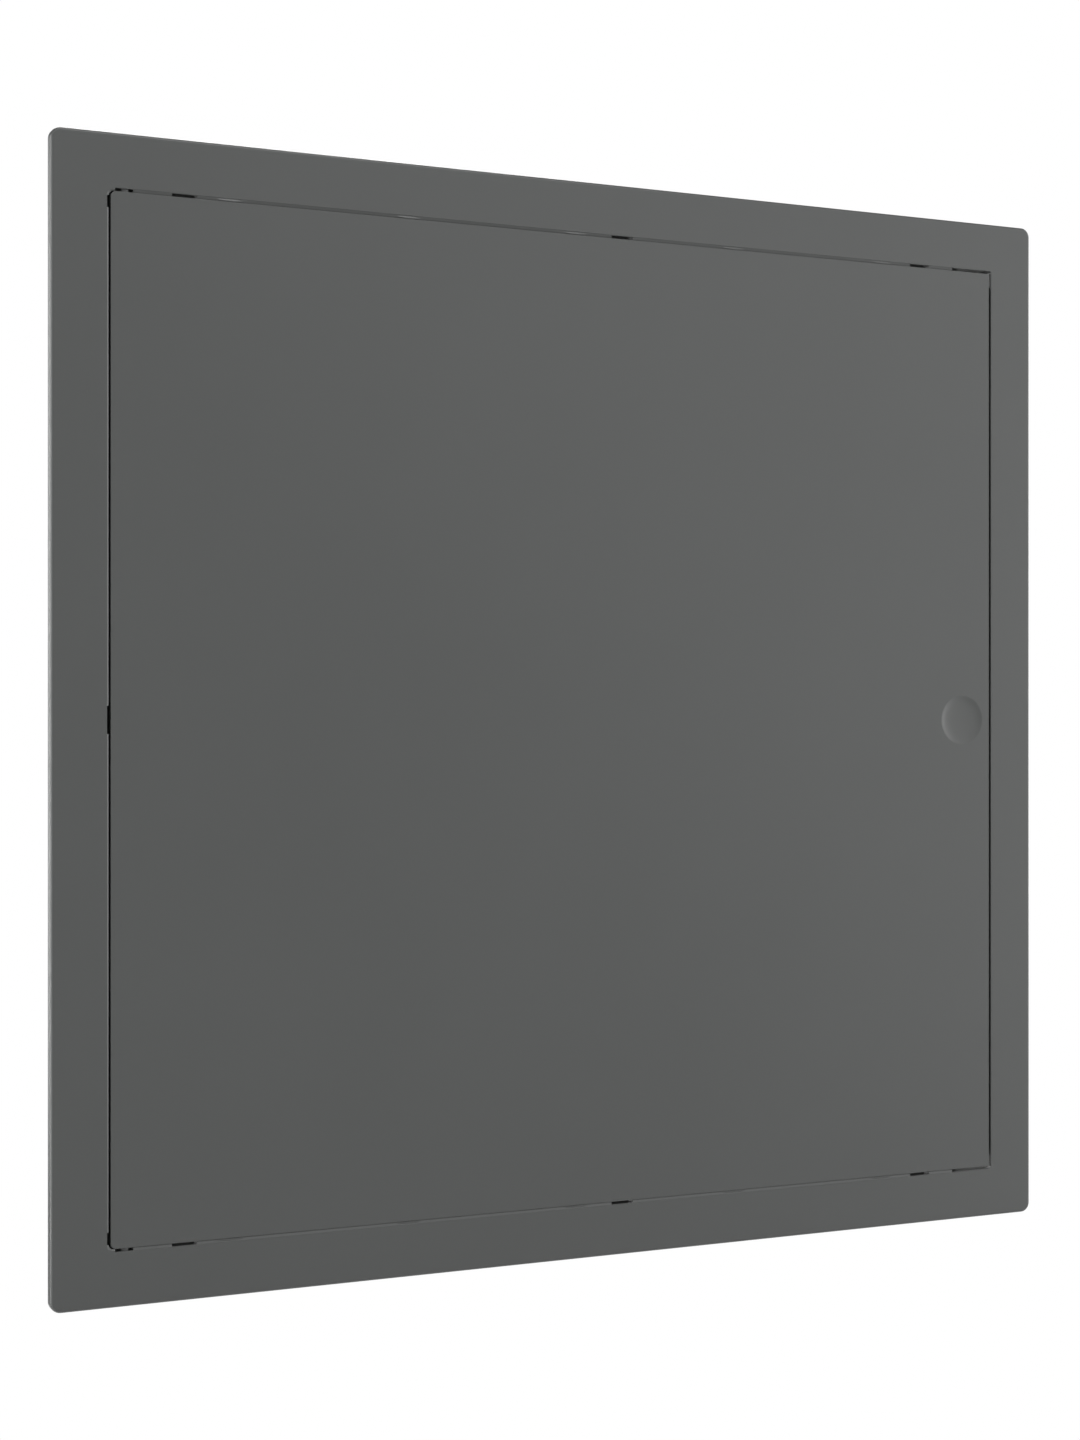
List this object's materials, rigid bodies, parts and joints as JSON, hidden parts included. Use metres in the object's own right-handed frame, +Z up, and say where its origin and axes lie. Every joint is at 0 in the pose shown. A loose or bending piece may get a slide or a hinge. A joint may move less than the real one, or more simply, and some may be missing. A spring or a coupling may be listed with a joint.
{
  "type": "access panel",
  "caption": "Square dark grey plastic access panel: a flanged frame that sits in a wall opening and a flush hinged door with a round finger dish.",
  "frame": {"origin": "middle of the panel on the back face of the flange, where it bears on the wall", "axes": "+Z up, +Y into the wall, so the front looks along -Y; +X to the right, towards the free edge of the door"},
  "size_m": [0.43, 0.026, 0.43],
  "materials": {
    "grey_plastic": "satin"
  },
  "bodies": {
    "frame": {"frame": "grey_plastic"},
    "door": {"door": "grey_plastic", "upper_hinge_pin": "grey_plastic", "lower_hinge_pin": "grey_plastic"}
  },
  "joints": [
    {"name": "door_hinge", "type": "hinge", "parent": "frame", "child": "door", "pos_m": [-0.1872, -0.0013, 0], "axis": [0, 0, -1], "range_deg": [0, 110]}
  ]
}
